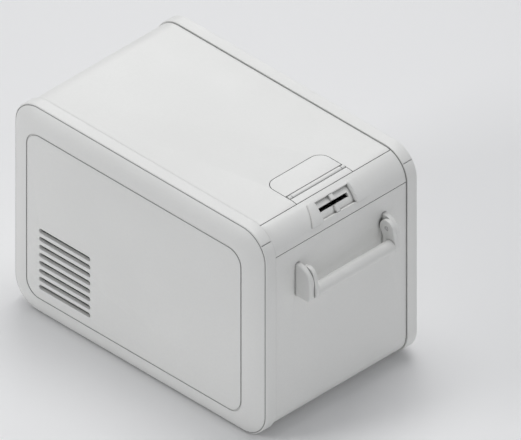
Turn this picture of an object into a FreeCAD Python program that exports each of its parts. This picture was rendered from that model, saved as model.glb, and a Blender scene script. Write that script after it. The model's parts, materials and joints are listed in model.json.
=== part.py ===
"""Desktop label maker: a box between two crowned side covers.

Frame: millimetres, +X to the front (flap and handle), +Y to the right-hand
cover, +Z up.  The origin is the middle of the footprint, on the surface that
the feet stand on.
"""
import FreeCAD, Part
import math
import os

V = FreeCAD.Vector


# ---------------------------------------------------------------- driving sizes
HEIGHT = 156.2            # whole machine, feet to top of the side covers
COVER_REAR_X = -117.0     # side covers, back edge
COVER_FRONT_X = 103.0     # side covers, front edge
COVER_RADIUS = 19.7       # corners of the side covers
FOOT_GAP = 0.6            # side covers hang this far above the surface
RIM_IN_Y = 57.7           # inner face of each side cover
RIM_OUT_Y = 65.7          # outer edge of its rim
CROWN_Y = 72.1            # flat field of the crowned side
CROWN_INSET = 16.2        # from the rim to the flat field
SHELL_INSET = 1.05        # the body stands inside the covers' outline
WALL = 2.4                # moulded wall thickness
COVER_WALL = 2.6          # wall of the side covers

FLAP_HALF_WIDTH = 24.3
FLAP_REAR_X = 59.7
FLAP_CORNER = 8.0
FLAP_GAP = 0.45           # clearance all round the flap
LID_SEAM_DEG = 74.5       # joint between lid and bezel, on the front top corner
BEZEL_SEAM_Z = 137.0      # joint between bezel and front panel

HINGE_X = -114.7          # lid hinge line
HINGE_Z = 128.0
BARREL_R = 2.1
HINGE_PIN_R = 0.9

BAIL_R = 4.3              # handle bar
BAIL_X = 112.7            # its centre, folded down
BAIL_Z = 106.1
BAIL_PIVOT_X = 108.8
BAIL_PIVOT_Z = 117.2
BAIL_TOP_R = 5.8          # round upper end of the handle's arms
BAIL_ARM_Y = (33.2, 36.0)
EAR_Y = (36.2, 39.8)      # brackets just outside the arms
EAR_FRONT_X = 115.1
EAR_LOW_Z = 99.7
EAR_TOP_Z = 123.8


# ---------------------------------------------------------------- worked out
SHELL_REAR_X = COVER_REAR_X + SHELL_INSET
SHELL_FRONT_X = COVER_FRONT_X - SHELL_INSET
SHELL_LOW_Z = FOOT_GAP + SHELL_INSET
SHELL_TOP_Z = HEIGHT - SHELL_INSET
SHELL_RADIUS = COVER_RADIUS - SHELL_INSET
CORNER_X = COVER_FRONT_X - COVER_RADIUS       # centre of the front top corner
CORNER_Z = HEIGHT - COVER_RADIUS
LID_SEAM_X = CORNER_X + SHELL_RADIUS * math.cos(math.radians(LID_SEAM_DEG))

PARTS = {}


# ---------------------------------------------------------------- helpers
def box(x0, x1, y0, y1, z0, z1):
    """Block between two corners."""
    return Part.makeBox(x1 - x0, y1 - y0, z1 - z0, V(x0, y0, z0))


def cyl_x(y, z, radius, x0, x1):
    """Cylinder along X."""
    return Part.makeCylinder(radius, x1 - x0, V(x0, y, z), V(1, 0, 0))


def cyl_y(x, z, radius, y0, y1):
    """Cylinder along Y."""
    return Part.makeCylinder(radius, y1 - y0, V(x, y0, z), V(0, 1, 0))


def cyl_z(x, y, radius, z0, z1):
    """Cylinder along Z."""
    return Part.makeCylinder(radius, z1 - z0, V(x, y, z0), V(0, 0, 1))


def join(shapes):
    """One solid from touching shapes."""
    first, *others = shapes
    return first.fuse(others).removeSplitter() if others else first


def mirror_y(shape):
    """The same shape on the other side of the middle plane."""
    return shape.mirror(V(0, 0, 0), V(0, 1, 0))


def both_sides(shape):
    """The shape and its mirror image, as a list."""
    return [shape, mirror_y(shape)]


def both_ways(span):
    """The Y span on the right-hand side and its mirror on the left."""
    return [span, (-span[1], -span[0])]


def rounded_slot_x(y, z, half_width, half_height, x0, x1):
    """Slot with round ends that runs through a wall along X."""
    middle = half_width - half_height
    slot = box(x0, x1, y - middle, y + middle, z - half_height, z + half_height)
    ends = [cyl_x(y - middle, z, half_height, x0, x1), cyl_x(y + middle, z, half_height, x0, x1)]
    return join([slot] + ends)


def rounded_face_xz(x0, x1, z0, z1, radius, y):
    """Face of a rounded rectangle that stands in the X-Z plane at y."""
    arcs = []
    for cx, cz, start in ((x1 - radius, z1 - radius, 0), (x0 + radius, z1 - radius, 90),
                          (x0 + radius, z0 + radius, 180), (x1 - radius, z0 + radius, 270)):
        points = [V(cx + radius * math.cos(math.radians(start + turn)), y,
                    cz + radius * math.sin(math.radians(start + turn))) for turn in (0, 45, 90)]
        arcs.append(Part.Arc(*points).toShape())
    edges = []
    for index, arc in enumerate(arcs):
        following = arcs[(index + 1) % 4]
        edges.append(arc)
        edges.append(Part.makeLine(arc.Vertexes[-1].Point, following.Vertexes[0].Point))
    return Part.Face(Part.Wire(edges))


def rounded_block_y(x0, x1, z0, z1, radius, y0, y1):
    """Rounded rectangle in X-Z, drawn out along Y."""
    return rounded_face_xz(x0, x1, z0, z1, radius, y0).extrude(V(0, y1 - y0, 0))


def rounded_block_z(x0, x1, y0, y1, radius, z0, z1):
    """Block with its four upright edges rounded."""
    block = box(x0, x1, y0, y1, z0, z1)
    upright = [e for e in block.Edges if abs(e.BoundBox.ZLength - (z1 - z0)) < 1e-6]
    return block.makeFillet(radius, upright)


def shell_block(inset, y0, y1):
    """The body's rounded outline, drawn in by inset, between two Y planes."""
    return rounded_block_y(SHELL_REAR_X + inset, SHELL_FRONT_X - inset,
                           SHELL_LOW_Z + inset, SHELL_TOP_Z - inset,
                           SHELL_RADIUS - inset, y0, y1)


def shell_band(y_half, outer=0.0, inner=WALL):
    """Closed band of wall round the body between -y_half and +y_half."""
    return shell_block(outer, -y_half, y_half).cut(shell_block(inner, -y_half - 1, y_half + 1))


def corner_sector(start_deg, end_deg, y_half):
    """Wedge about the centre line of the front top corner."""
    reach = 3 * SHELL_RADIUS
    middle = V(CORNER_X, -y_half, CORNER_Z)
    points = [middle]
    for turn in (start_deg, (start_deg + end_deg) / 2, end_deg):
        points.append(middle + V(reach * math.cos(math.radians(turn)), 0,
                                 reach * math.sin(math.radians(turn))))
    wire = Part.makePolygon(points + [middle])
    return Part.Face(wire).extrude(V(0, 2 * y_half, 0))


def at_corner(radius, degrees):
    """X and Z of a point on an arc about the front top corner's centre."""
    return (CORNER_X + radius * math.cos(math.radians(degrees)),
            CORNER_Z + radius * math.sin(math.radians(degrees)))


def keep(name, shape):
    """Store a finished sub-part under its node name."""
    PARTS[name] = shape


# ---------------------------------------------------------------- casing
VENT_COUNT = 8
VENT_X = (-89.9, -45.1)
VENT_Z = (24.2, 70.3)
SLOT_HEIGHT = 3.4
PANEL_SPLIT_X = 70.0      # underside joint between base tray and front panel
REAR_SPLIT_X = -95.0      # underside joint between base tray and rear panel
SEAM = 0.5                # joint line between two fixed mouldings
BODY_HALF_Y = RIM_IN_Y - 0.4   # the body stops just short of the covers
LID_SIDE_GAP = 0.5
RIM_TICK_DEG = 38.0       # fine joint line across each cover's rim, on the front top corner
BOSS_R = 3.6
SCREW_R = 1.5
COVER_BOSSES = ((-98.0, 22.0), (-98.0, 112.0), (84.0, 22.0), (84.0, 124.0))   # X, Z
RIB_HALF_Y = 55.0
LOUVRE_COUNT = 7          # slots in the rear panel
LOUVRE_Y = 18.0
LOUVRE_LOW_Z = 60.0
LOUVRE_PITCH = 7.0
LOUVRE_HALF = (24.0, 1.6)
RIGHT_BUTTON_Z = 118.0
POWER_BUTTON_X = 30.0
FEED_BUTTON_X = 54.0
BUTTON_R = 6.0
LIGHT_X = 42.0
LIGHT_R = 1.6


def cover_outline(inset, y):
    """Outline of a side cover drawn in by inset, as a wire at y."""
    radius = COVER_RADIUS - 0.55 * inset
    return rounded_face_xz(COVER_REAR_X + inset, COVER_FRONT_X - inset, FOOT_GAP + inset,
                           HEIGHT - inset, radius, y).OuterWire


def crowned_side(wall):
    """Rim and crown of the right-hand cover, drawn in on all sides by wall."""
    rim_top = RIM_OUT_Y - wall
    rise = CROWN_Y - RIM_OUT_Y
    rim = Part.Face(cover_outline(wall, RIM_IN_Y)).extrude(V(0, rim_top - RIM_IN_Y, 0))
    sections = []
    for share in (0.0, 0.35, 0.7, 1.0):
        height = rim_top + rise * (1 - (1 - 0.9 * share) ** 2) / 0.99
        sections.append(cover_outline(wall + CROWN_INSET * share, height))
    return rim.fuse(Part.makeLoft(sections, True, False))


def ring_groove(inset, half_width, low_y):
    """Fine groove that follows a cover's outline at the given inset, down to low_y."""
    outer = Part.Face(cover_outline(inset - half_width, low_y))
    inner = Part.Face(cover_outline(inset + half_width, low_y))
    return outer.cut(inner).extrude(V(0, 3.0, 0))


def rim_tick():
    """Fine line across the rim on its front top corner."""
    half_turn = math.degrees(0.3 / COVER_RADIUS)
    wedge = corner_sector(RIM_TICK_DEG - half_turn, RIM_TICK_DEG + half_turn, RIM_OUT_Y + 0.5)
    upper = wedge.common(box(-200, 200, RIM_IN_Y - 1, RIM_OUT_Y + 0.5, 0, 200))
    return upper.cut(cyl_y(CORNER_X, CORNER_Z, COVER_RADIUS - 0.5, RIM_IN_Y - 2, RIM_OUT_Y + 1))


def cover_blank():
    """Right-hand cover with its screw bosses, before its own openings."""
    shell = crowned_side(0.0).cut(crowned_side(COVER_WALL))
    inside = crowned_side(COVER_WALL - 0.2)
    bosses = []
    for x, z in COVER_BOSSES:
        bosses.append(cyl_y(x, z, BOSS_R, RIM_IN_Y, CROWN_Y).common(inside))
    shell = join([shell] + bosses)
    holes = [cyl_y(x, z, SCREW_R - 0.3, RIM_IN_Y - 1, RIM_IN_Y + 4.6) for x, z in COVER_BOSSES]
    grooves = [ring_groove(CROWN_INSET, 0.5, CROWN_Y - 0.6), ring_groove(0.9, 0.25, RIM_OUT_Y + 0.1)]
    for tool in holes + grooves + [rim_tick()]:
        shell = shell.cut(tool)
    return shell


def make_left_cover():
    """Left-hand cover with the slotted vent for the fan."""
    cover = mirror_y(cover_blank())
    pitch = (VENT_Z[1] - VENT_Z[0] - SLOT_HEIGHT) / (VENT_COUNT - 1)
    for row in range(VENT_COUNT):
        low = VENT_Z[0] + row * pitch
        slot = rounded_block_y(VENT_X[0], VENT_X[1], low, low + SLOT_HEIGHT,
                               SLOT_HEIGHT / 2 - 0.05, -CROWN_Y - 1, -RIM_OUT_Y)
        cover = cover.cut(slot)
    keep("left_cover", cover)


def make_right_cover():
    """Right-hand cover with the holes for two buttons and a light."""
    cover = cover_blank()
    for x in (POWER_BUTTON_X, FEED_BUTTON_X):
        cover = cover.cut(cyl_y(x, RIGHT_BUTTON_Z, BUTTON_R + 0.35, RIM_OUT_Y, CROWN_Y + 1))
    cover = cover.cut(cyl_y(LIGHT_X, RIGHT_BUTTON_Z, LIGHT_R, RIM_OUT_Y, CROWN_Y + 1))
    keep("right_cover", cover)


def make_base_tray():
    """Floor of the machine, with low walls that stiffen it and the foot pads."""
    tray = shell_band(BODY_HALF_Y).common(
        box(REAR_SPLIT_X, PANEL_SPLIT_X - SEAM, -RIM_IN_Y, RIM_IN_Y, -1, SHELL_LOW_Z + WALL))
    floor = SHELL_LOW_Z + WALL
    ribs = [box(x, x + 2, -RIB_HALF_Y, RIB_HALF_Y, floor - 0.2, floor + 5)
            for x in (REAR_SPLIT_X, REAR_SPLIT_X + 58)]
    tray = join([tray] + ribs)
    for x, y in FOOT_PLACES:
        tray = tray.cut(cyl_z(x, y, FOOT_R, 0, FOOT_TOP))
    for x, y in BOARD_POSTS + POWER_POSTS:
        tray = join([tray, cyl_z(x, y, POST_R, floor - 0.5, BOARD_Z)])
        tray = tray.cut(cyl_z(x, y, PILOT_R, floor, BOARD_Z + 1))
    keep("base_tray", tray)


def make_front_panel():
    """Front face down to the underside, with the handle's screw holes."""
    panel = shell_band(BODY_HALF_Y).common(
        box(PANEL_SPLIT_X, COVER_FRONT_X, -RIM_IN_Y, RIM_IN_Y, -1, BEZEL_SEAM_Z - SEAM / 2))
    lip = box(SHELL_FRONT_X - WALL - 1.5, SHELL_FRONT_X - WALL + 0.2, -RIM_IN_Y + 4, RIM_IN_Y - 4,
              BEZEL_SEAM_Z - 6, BEZEL_SEAM_Z - SEAM / 2)
    ribs = []
    for y in (-48.0, -16.0, 16.0, 48.0):
        ribs.append(box(SHELL_FRONT_X - WALL - 3, SHELL_FRONT_X - WALL + 0.2, y - 0.8, y + 0.8, 24, 96))
    panel = join([panel, lip] + ribs)
    for y in EAR_SCREW_Y:
        for z in EAR_SCREW_Z:
            panel = panel.cut(cyl_x(y, z, EAR_SCREW_R + 0.3, 90, 110))
    keep("front_panel", panel)


def make_rear_panel():
    """Back of the machine with its sockets, louvres and hinge barrels."""
    panel = shell_band(BODY_HALF_Y).common(
        box(COVER_REAR_X, REAR_SPLIT_X - SEAM, -RIM_IN_Y, RIM_IN_Y, -1, HINGE_Z - 1.7))
    for y0, y1 in both_ways(LID_BARREL_Y):
        panel = panel.cut(cyl_y(HINGE_X, HINGE_Z, BARREL_R + 0.4, y0 - 0.3, y1 + 0.3))
    for y0, y1 in both_ways(PANEL_BARREL_Y):
        panel = join([panel, hinge_barrel(y0, y1, -6.0)])
    for y0, y1 in both_ways(PANEL_BARREL_Y):
        panel = panel.cut(cyl_y(HINGE_X, HINGE_Z, HINGE_PIN_R, y0 - 0.1, y1 + 0.1))
    behind, inside = COVER_REAR_X - 1, SHELL_REAR_X + WALL + 1
    sockets = [cyl_x(INLET_Y, INLET_Z, INLET_R, behind, inside),
               rounded_slot_x(DATA_Y, DATA_Z, *DATA_HALF, behind, inside),
               box(behind, inside, SWITCH_Y - SWITCH_HALF[0], SWITCH_Y + SWITCH_HALF[0],
                   SWITCH_Z - SWITCH_HALF[1], SWITCH_Z + SWITCH_HALF[1])]
    louvres = [rounded_slot_x(LOUVRE_Y, LOUVRE_LOW_Z + row * LOUVRE_PITCH, *LOUVRE_HALF, behind, inside)
               for row in range(LOUVRE_COUNT)]
    for tool in sockets + louvres:
        panel = panel.cut(tool)
    keep("rear_panel", panel)


# ---------------------------------------------------------------- lid and flap
PANEL_BARREL_Y = (26.0, 37.6)      # hinge barrels on the rear panel, both sides
LID_BARREL_Y = (38.0, 50.0)        # and on the lid
LIP_HALF_Y = 25.0                  # lip of the lid behind the gap at the hinge line
HINGE_CLEAR = 0.06
FLAP_PIN_X = 80.3
FLAP_PIN_Z = 154.0
FLAP_BARREL_R = 1.75
FLAP_PIN_R = 0.8
FLAP_KNUCKLE_Y = 21.8     # fixed knuckles outside this, the flap's barrel inside
FLAP_STRIP_X = 82.6       # fixed strip in front of the flap's barrel
EXIT_HALF_WIDTH = 15.0
EXIT_DEG = (20.0, 60.0)
PRONG_RISE = 1.8


def hinge_barrel(y0, y1, leg):
    """Barrel on the hinge line with a leg up (positive) or down to its wall."""
    low, high = sorted((HINGE_Z, HINGE_Z + leg))
    wall = box(SHELL_REAR_X, SHELL_REAR_X + WALL, y0, y1, low, high)
    return join([cyl_y(HINGE_X, HINGE_Z, BARREL_R, y0, y1), wall])


def make_lid():
    """Lid from the front seam over the rear corner to the hinge line."""
    half = RIM_IN_Y - LID_SIDE_GAP
    reach = box(COVER_REAR_X, LID_SEAM_X - 0.4, -half, half, HINGE_Z + 0.4, HEIGHT)
    lid = shell_band(half + 1).common(reach)
    ribs = [box(x, x + 1.6, -half + 6, half - 6, SHELL_TOP_Z - WALL - 2.4, SHELL_TOP_Z - WALL + 0.2)
            for x in (-80.0, -50.0, -20.0, 10.0, 40.0)]
    inner_x = SHELL_REAR_X + WALL
    lip = [box(inner_x + 0.3, inner_x + 1.7, -LIP_HALF_Y, LIP_HALF_Y, HINGE_Z - 3.2, HINGE_Z + 2.5),
           box(inner_x - 0.2, inner_x + 1.7, -LIP_HALF_Y, LIP_HALF_Y, HINGE_Z + 0.6, HINGE_Z + 2.5)]
    lid = join([lid] + ribs + lip)
    for y0, y1 in both_ways((PANEL_BARREL_Y[0] - 0.4, PANEL_BARREL_Y[1] + 0.4)):
        lid = lid.cut(box(-118, -110, y0, y1, HINGE_Z - 3, HINGE_Z + 3.4))
    for y0, y1 in both_ways(LID_BARREL_Y):
        lid = join([lid, hinge_barrel(y0, y1, 6.0)])
        lid = lid.cut(cyl_y(HINGE_X, HINGE_Z, HINGE_PIN_R + HINGE_CLEAR, y0 - 0.1, y1 + 0.1))
    keep("lid", lid.cut(flap_space(FLAP_GAP, SHELL_TOP_Z - 8, HEIGHT + 2)))


def make_lid_hinge_pins():
    """One steel pin through each pair of hinge barrels."""
    pins = [cyl_y(HINGE_X, HINGE_Z, HINGE_PIN_R, y0, y1)
            for y0, y1 in both_ways((PANEL_BARREL_Y[0], LID_BARREL_Y[1]))]
    keep("lid_hinge_pins", Part.makeCompound(pins))


def flap_space(gap, z0, z1):
    """The flap's outline, grown by gap, between two heights."""
    half = FLAP_HALF_WIDTH + gap
    return rounded_block_z(FLAP_REAR_X - gap, LID_SEAM_X + 20, -half, half, FLAP_CORNER + gap, z0, z1)


def make_exit_flap():
    """Flap that lies flush in the lid and tips forward on its barrel."""
    plate = shell_band(40).common(flap_space(0, HEIGHT - 4, HEIGHT))
    plate = plate.common(box(FLAP_REAR_X, FLAP_PIN_X, -40, 40, HEIGHT - 4, HEIGHT))
    for y0, y1 in both_ways((FLAP_KNUCKLE_Y - 0.3, FLAP_HALF_WIDTH + 1)):
        plate = plate.cut(box(FLAP_PIN_X - FLAP_BARREL_R - 0.4, 90, y0, y1, HEIGHT - 5, HEIGHT))
    barrel = cyl_y(FLAP_PIN_X, FLAP_PIN_Z, FLAP_BARREL_R, -FLAP_KNUCKLE_Y + 0.3, FLAP_KNUCKLE_Y - 0.3)
    flap = join([plate, barrel])
    flap = flap.cut(box(FLAP_PIN_X - FLAP_BARREL_R - 0.5, FLAP_PIN_X - FLAP_BARREL_R + 0.1,
                        -FLAP_HALF_WIDTH, FLAP_HALF_WIDTH, SHELL_TOP_Z - 0.6, HEIGHT))
    keep("exit_flap", flap.cut(cyl_y(FLAP_PIN_X, FLAP_PIN_Z, FLAP_PIN_R + HINGE_CLEAR, -30, 30)))


def make_flap_pin():
    """Steel pin that the flap turns on."""
    keep("flap_pin", cyl_y(FLAP_PIN_X, FLAP_PIN_Z, FLAP_PIN_R, -FLAP_HALF_WIDTH, FLAP_HALF_WIDTH))


def prong(side):
    """One raised prong beside the exit: wider at its foot, round at its head."""
    top_x, top_z = at_corner(SHELL_RADIUS + 3, 62)
    low_x, low_z = at_corner(SHELL_RADIUS + 3, 21)
    points = [V(top_x, side * 15.0, top_z), V(top_x, side * 19.8, top_z),
              V(low_x, side * 24.3, low_z), V(low_x, side * 15.0, low_z)]
    inward = V(low_z - top_z, 0, top_x - low_x).normalize() * 12
    block = Part.Face(Part.makePolygon(points + [points[0]])).extrude(inward)
    heads = [e for e in block.Edges
             if abs(e.Length - 12) < 1e-3 and e.BoundBox.ZMax > top_z - 0.1]
    crest = shell_block(-PRONG_RISE, -40, 40).cut(shell_block(0.6, -41, 41))
    return crest.common(block.makeFillet(1.9, heads))


def make_exit_bezel():
    """Curved strip between lid and front panel, with the label exit and the flap's seat."""
    half = FLAP_HALF_WIDTH
    bezel = shell_band(BODY_HALF_Y).common(
        box(LID_SEAM_X + 0.1, COVER_FRONT_X, -RIM_IN_Y, RIM_IN_Y, BEZEL_SEAM_Z + SEAM / 2, HEIGHT))
    bezel = bezel.cut(corner_sector(EXIT_DEG[0], EXIT_DEG[1], EXIT_HALF_WIDTH))
    strip = shell_band(half).common(box(FLAP_STRIP_X, LID_SEAM_X + 0.5, -half, half, 140, HEIGHT))
    seat = box(FLAP_PIN_X - 6, FLAP_STRIP_X + 2, -half, half, 149.4, 151.0)
    riser = box(FLAP_STRIP_X, FLAP_STRIP_X + 2, -half, half, 150, 154)
    pieces = [bezel, strip, riser, seat, prong(1), prong(-1)]
    for y0, y1 in both_ways((FLAP_KNUCKLE_Y, half)):
        pieces.append(cyl_y(FLAP_PIN_X, FLAP_PIN_Z, FLAP_BARREL_R, y0, y1))
        pieces.append(box(FLAP_PIN_X, FLAP_STRIP_X + 1, y0, y1, 150, FLAP_PIN_Z))
    bezel = join(pieces)
    bezel = bezel.cut(cyl_y(FLAP_PIN_X, FLAP_PIN_Z, FLAP_PIN_R, -30, 30))
    keep("exit_bezel", bezel.cut(box(LID_SEAM_X - 0.4, LID_SEAM_X + 0.1, -half, half, 153.9, HEIGHT)))


def make_exit_guide():
    """Throat behind the label exit, with a slot and a tongue that steers the label."""
    half = EXIT_HALF_WIDTH + 3
    throat = shell_band(half, WALL, WALL + 2.0).common(corner_sector(13, 66, half))
    throat = throat.cut(corner_sector(36, 46, 12.6))
    tongue = shell_band(1.5, 0.4, WALL + 1.0).common(corner_sector(47, 59.5, 1.5))
    low_tongue = shell_band(1.5, 0.4, WALL + 1.0).common(corner_sector(20.5, 35, 1.5))
    keep("exit_guide", join([throat, tongue, low_tongue]))


# ---------------------------------------------------------------- handle
EAR_BACK_X = SHELL_FRONT_X
EAR_TOP_RADIUS = 11.0
EAR_FOOT_RADIUS = 4.0
EAR_BEVEL = 0.7
EAR_SCREW_Y = (-38.0, 38.0)
EAR_SCREW_Z = (104.5, 116.5)
EAR_SCREW_R = 0.9
BAIL_CORE_R = 2.2
BAIL_PIN_R = 1.5


def ear():
    """Handle bracket on the right of the front panel: a plate with a round front."""
    plate = box(EAR_BACK_X, EAR_FRONT_X, *EAR_Y, EAR_LOW_Z, EAR_TOP_Z)
    front = [e for e in plate.Edges if e.BoundBox.YLength > 1 and e.BoundBox.XMin > EAR_FRONT_X - 0.1]
    top, foot = sorted(front, key=lambda e: -e.BoundBox.ZMin)
    plate = plate.makeFillet(EAR_TOP_RADIUS, [top])
    foot = [e for e in plate.Edges if e.BoundBox.YLength > 1 and e.BoundBox.XMin > EAR_FRONT_X - 0.1
            and e.BoundBox.ZMax < EAR_LOW_Z + 0.1]
    plate = plate.makeFillet(EAR_FOOT_RADIUS, foot)
    outer = [e for e in plate.Edges
             if e.BoundBox.YMin > EAR_Y[1] - 0.01 and e.BoundBox.XMax > EAR_BACK_X + 0.01]
    plate = plate.makeChamfer(EAR_BEVEL, outer)
    plate = plate.cut(cyl_y(BAIL_PIVOT_X, BAIL_PIVOT_Z, BAIL_PIN_R, EAR_Y[0] - 1, EAR_Y[1] - 1.2))
    for z in EAR_SCREW_Z:
        plate = plate.cut(cyl_x(EAR_SCREW_Y[1], z, EAR_SCREW_R, EAR_BACK_X - 1, EAR_BACK_X + 5))
    return plate


def make_handle_brackets():
    """The two brackets that carry the handle."""
    keep("handle_bracket_right", ear())
    keep("handle_bracket_left", mirror_y(ear()))


def bail_arm():
    """Arm of the handle beside the right-hand bracket, wide at its pivot."""
    top = cyl_y(BAIL_PIVOT_X, BAIL_PIVOT_Z, BAIL_TOP_R, *BAIL_ARM_Y)
    low = cyl_y(BAIL_X, BAIL_Z, BAIL_R, *BAIL_ARM_Y)
    run = V(BAIL_X - BAIL_PIVOT_X, 0, BAIL_Z - BAIL_PIVOT_Z)
    across = V(-run.z, 0, run.x).normalize()
    start = V(BAIL_PIVOT_X, BAIL_ARM_Y[0], BAIL_PIVOT_Z)
    points = [start + across * BAIL_TOP_R, start + run + across * BAIL_R,
              start + run - across * BAIL_R, start - across * BAIL_TOP_R]
    web = Part.Face(Part.makePolygon(points + [points[0]])).extrude(V(0, BAIL_ARM_Y[1] - BAIL_ARM_Y[0], 0))
    pin_hole = cyl_y(BAIL_PIVOT_X, BAIL_PIVOT_Z, BAIL_PIN_R + HINGE_CLEAR, 20, 50)
    return join([top, low, web]).cut(pin_hole)


def make_handle():
    """Bail handle: two arms, the bar core, its grip sleeve and the pivot pins."""
    half = BAIL_ARM_Y[0]
    core = cyl_y(BAIL_X, BAIL_Z, BAIL_CORE_R, -half - 0.5, half + 0.5)
    keep("bail_handle", join([core] + both_sides(bail_arm())))
    grip = cyl_y(BAIL_X, BAIL_Z, BAIL_R, -half, half)
    keep("handle_grip", grip.cut(cyl_y(BAIL_X, BAIL_Z, BAIL_CORE_R, -half - 1, half + 1)))
    pin = cyl_y(BAIL_PIVOT_X, BAIL_PIVOT_Z, BAIL_PIN_R, BAIL_ARM_Y[0], EAR_Y[1] - 1.2)
    keep("handle_pivot_pins", Part.makeCompound(both_sides(pin)))


# ---------------------------------------------------------------- side frames and feet
FRAME_SHEET = 1.6
HOOP_DEPTH = 14.0         # how far each hoop reaches in from the body's wall
TAB_HALF = 8.0
HEAD_R = 2.8
FOOT_R = 7.0
FOOT_TOP = 2.8
FOOT_PLACES = ((-82.0, -44.0), (-82.0, 44.0), (56.0, -44.0), (56.0, 44.0))
FLOOR_Z = SHELL_LOW_Z + WALL


def make_side_frames():
    """Steel hoops inside the body's edges that the side covers are screwed to."""
    hoop = shell_block(WALL, RIM_IN_Y - FRAME_SHEET, RIM_IN_Y)
    hoop = hoop.cut(shell_block(WALL + HOOP_DEPTH, RIM_IN_Y - 4, RIM_IN_Y + 1))
    corners = shell_block(WALL, RIM_IN_Y - FRAME_SHEET, RIM_IN_Y)
    for x, z in COVER_BOSSES:
        tab = box(x - TAB_HALF, x + TAB_HALF, RIM_IN_Y - 4, RIM_IN_Y + 1, z - TAB_HALF, z + TAB_HALF)
        hoop = join([hoop, tab.common(corners)])
    for x, z in COVER_BOSSES:
        hoop = hoop.cut(cyl_y(x, z, SCREW_R, RIM_IN_Y - 4, RIM_IN_Y + 1))
    keep("side_frame_right", hoop)
    keep("side_frame_left", mirror_y(hoop))


def make_cover_screws():
    """Screws from the side frames into the bosses of the side covers."""
    screws = []
    for x, z in COVER_BOSSES:
        head = cyl_y(x, z, HEAD_R, RIM_IN_Y - FRAME_SHEET - 2.0, RIM_IN_Y - FRAME_SHEET)
        thread = cyl_y(x, z, SCREW_R - 0.3, RIM_IN_Y - FRAME_SHEET - 1, RIM_IN_Y + 4.4)
        screws.append(join([head, thread]))
    keep("cover_screws", Part.makeCompound([s for screw in screws for s in both_sides(screw)]))


def make_feet():
    """Four rubber feet let into the base tray."""
    feet = [cyl_z(x, y, FOOT_R, 0, FOOT_TOP) for x, y in FOOT_PLACES]
    feet = [foot.makeChamfer(0.3, [e for e in foot.Edges if e.BoundBox.ZMax < 0.01]) for foot in feet]
    keep("rubber_feet", Part.makeCompound(feet))


def make_handle_screws():
    """Screws from inside the front panel into the handle brackets."""
    screws = []
    back = SHELL_FRONT_X - WALL
    for y in EAR_SCREW_Y:
        for z in EAR_SCREW_Z:
            head = cyl_x(y, z, HEAD_R, back - 2, back)
            screws.append(join([head, cyl_x(y, z, EAR_SCREW_R, back - 1, back + 6.5)]))
    keep("handle_screws", Part.makeCompound(screws))


# ---------------------------------------------------------------- gears
def gear(module, teeth, phase_deg, x, z, y0, y1, bore):
    """Spur gear on an axis along Y, with a tooth centred on phase_deg."""
    pitch_r = module * teeth / 2
    root_r = pitch_r - 1.2 * module
    tip_r = pitch_r + 0.8 * module
    pitch = 2 * math.pi / teeth
    points = []
    for tooth in range(teeth):
        middle = math.radians(phase_deg) + tooth * pitch
        for radius, share in ((root_r, -0.24), (pitch_r, -0.21), (tip_r, -0.09),
                              (tip_r, 0.09), (pitch_r, 0.21), (root_r, 0.24)):
            turn = middle + share * pitch
            points.append(V(x + radius * math.cos(turn), y0, z + radius * math.sin(turn)))
    blank = Part.Face(Part.makePolygon(points + [points[0]])).extrude(V(0, y1 - y0, 0))
    return blank.cut(cyl_y(x, z, bore, y0 - 1, y1 + 1))


# ---------------------------------------------------------------- print mechanism
PLATE_IN_Y = 30.0
PLATE_T = 1.5
PLATE_X = (-30.0, 91.0)
PLATE_TOP_Z = 140.0
PLATEN = (72.0, 122.0)              # X, Z of the platen's axis
PLATEN_R = 7.0
PLATEN_SHAFT_R = 3.0
RUN_CLEAR = 0.05
GEAR_Y = (33.0, 38.0)
IDLER_DEG = 250.0                   # direction from platen to idler
PINION_DEG = 270.0                  # direction from idler to motor pinion
PLATEN_TEETH = 24
IDLER_TEETH = 18
PINION_TEETH = 12
GEAR_SUM_1 = (PLATEN_TEETH + IDLER_TEETH) / 2
GEAR_SUM_2 = (IDLER_TEETH + PINION_TEETH) / 2
IDLER = (PLATEN[0] + GEAR_SUM_1 * math.cos(math.radians(IDLER_DEG)),
         PLATEN[1] + GEAR_SUM_1 * math.sin(math.radians(IDLER_DEG)))
FEED_MOTOR = (IDLER[0] + GEAR_SUM_2 * math.cos(math.radians(PINION_DEG)),
              IDLER[1] + GEAR_SUM_2 * math.sin(math.radians(PINION_DEG)))
SPOOL = (-15.0, 92.0)               # X, Z of the label roll's axis
ROLL_R = 38.0
SPOOL_SHAFT_R = 4.0
SPOOL_CORE_R = 12.6
SPOOL_HOLES = 6
CUT_MODULE = 0.8
CUT_TEETH = 14
RACK_X = 82.0
CUT_MOTOR = (RACK_X - CUT_MODULE * CUT_TEETH / 2, 100.0)
BLADE_X = 84.8
BLADE_HALF_Y = 25.0
RACK_Y = (25.5, 29.3)


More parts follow.
